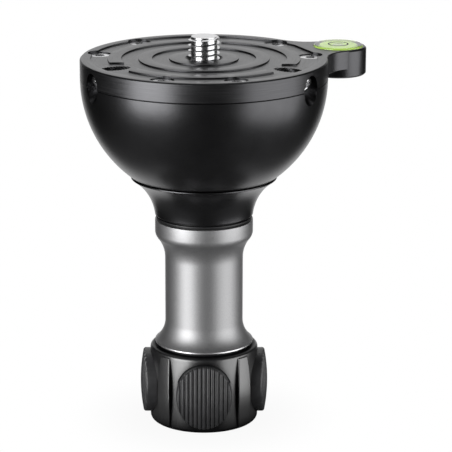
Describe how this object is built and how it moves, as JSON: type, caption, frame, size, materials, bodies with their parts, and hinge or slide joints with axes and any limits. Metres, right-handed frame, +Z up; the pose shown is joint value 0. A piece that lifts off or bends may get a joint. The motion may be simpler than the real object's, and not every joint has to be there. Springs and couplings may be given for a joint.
{
  "type": "leveling base",
  "caption": "Half-ball leveling base for a tripod bowl: grooved head plate with threaded stud and bubble level, clamp cup, sleeve handle and tightening knob with grip pads.",
  "frame": {"origin": "centre of the half ball, in the seam plane between ball and head plate", "axes": "+Z up along the stud, rod and knob; the picture's front is towards -Y, +X to its right"},
  "size_m": [0.0877, 0.075, 0.1212],
  "materials": {
    "anodised_black": "satin black anodised",
    "anodised_grey": "bead-blasted grey anodised",
    "bright_steel": "bright turned steel",
    "knob_black": "satin black moulded",
    "pad_rubber": "ribbed satin rubber",
    "liner_rubber": "matte rubber",
    "bush_nylon": "smooth black nylon",
    "insert_brass": "turned brass",
    "vial_clear": "clear acrylic",
    "vial_fluid": "lime green fluid",
    "vial_plug": "pale moulded plug"
  },
  "bodies": {
    "bowl": {"top_plate": "anodised_black", "half_ball": "anodised_black", "plate_screws": "bright_steel", "head_stud": "bright_steel", "stud_washer": "bright_steel", "stud_nut": "bright_steel", "level_case": "vial_clear", "level_fluid": "vial_fluid", "level_plug": "vial_plug", "tie_rod": "bright_steel", "rod_screws": "bright_steel", "stop_washer": "bright_steel", "stop_screw": "bright_steel"},
    "clamp": {"clamp_cup": "anodised_black", "clamp_liner": "liner_rubber"},
    "handle": {"handle_sleeve": "anodised_grey", "upper_bush": "bush_nylon", "lower_bush": "bush_nylon", "thrust_washer": "bush_nylon"},
    "knob": {"knob_body": "knob_black", "knob_insert": "insert_brass", "knob_cap": "knob_black", "grip_pad_front": "pad_rubber", "grip_pad_right": "pad_rubber", "grip_pad_rear": "pad_rubber", "grip_pad_left": "pad_rubber"},
    "set_screw_left": {"set_screw_left": "bright_steel"},
    "set_screw_right": {"set_screw_right": "bright_steel"},
    "set_screw_rear": {"set_screw_rear": "bright_steel"}
  },
  "joints": [
    {"name": "clamp_slide", "type": "slide", "parent": "bowl", "child": "clamp", "axis": [0, 0, 1], "range_m": [-0.008, 0]},
    {"name": "handle_spin", "type": "hinge", "parent": "clamp", "child": "handle", "pos_m": [0, 0, -0.0638], "axis": [0, 0, 1], "continuous": true},
    {"name": "knob_turn", "type": "hinge", "parent": "clamp", "child": "knob", "pos_m": [0, 0, -0.0965], "axis": [0, 0, 1], "range_deg": [-1920, 0]},
    {"name": "set_screw_right_drive", "type": "slide", "parent": "bowl", "child": "set_screw_right", "axis": [-0.6922, 0.441, 0.5714], "range_m": [0, 0.0045]},
    {"name": "set_screw_rear_drive", "type": "slide", "parent": "bowl", "child": "set_screw_rear", "axis": [-0.0358, -0.8199, 0.5714], "range_m": [0, 0.0045]},
    {"name": "set_screw_left_drive", "type": "slide", "parent": "bowl", "child": "set_screw_left", "axis": [0.728, 0.379, 0.5714], "range_m": [0, 0.0045]}
  ],
  "couplings": [
    {"joint": "knob_turn", "follows": "clamp_slide", "rad_per_m": 4188.8}
  ]
}
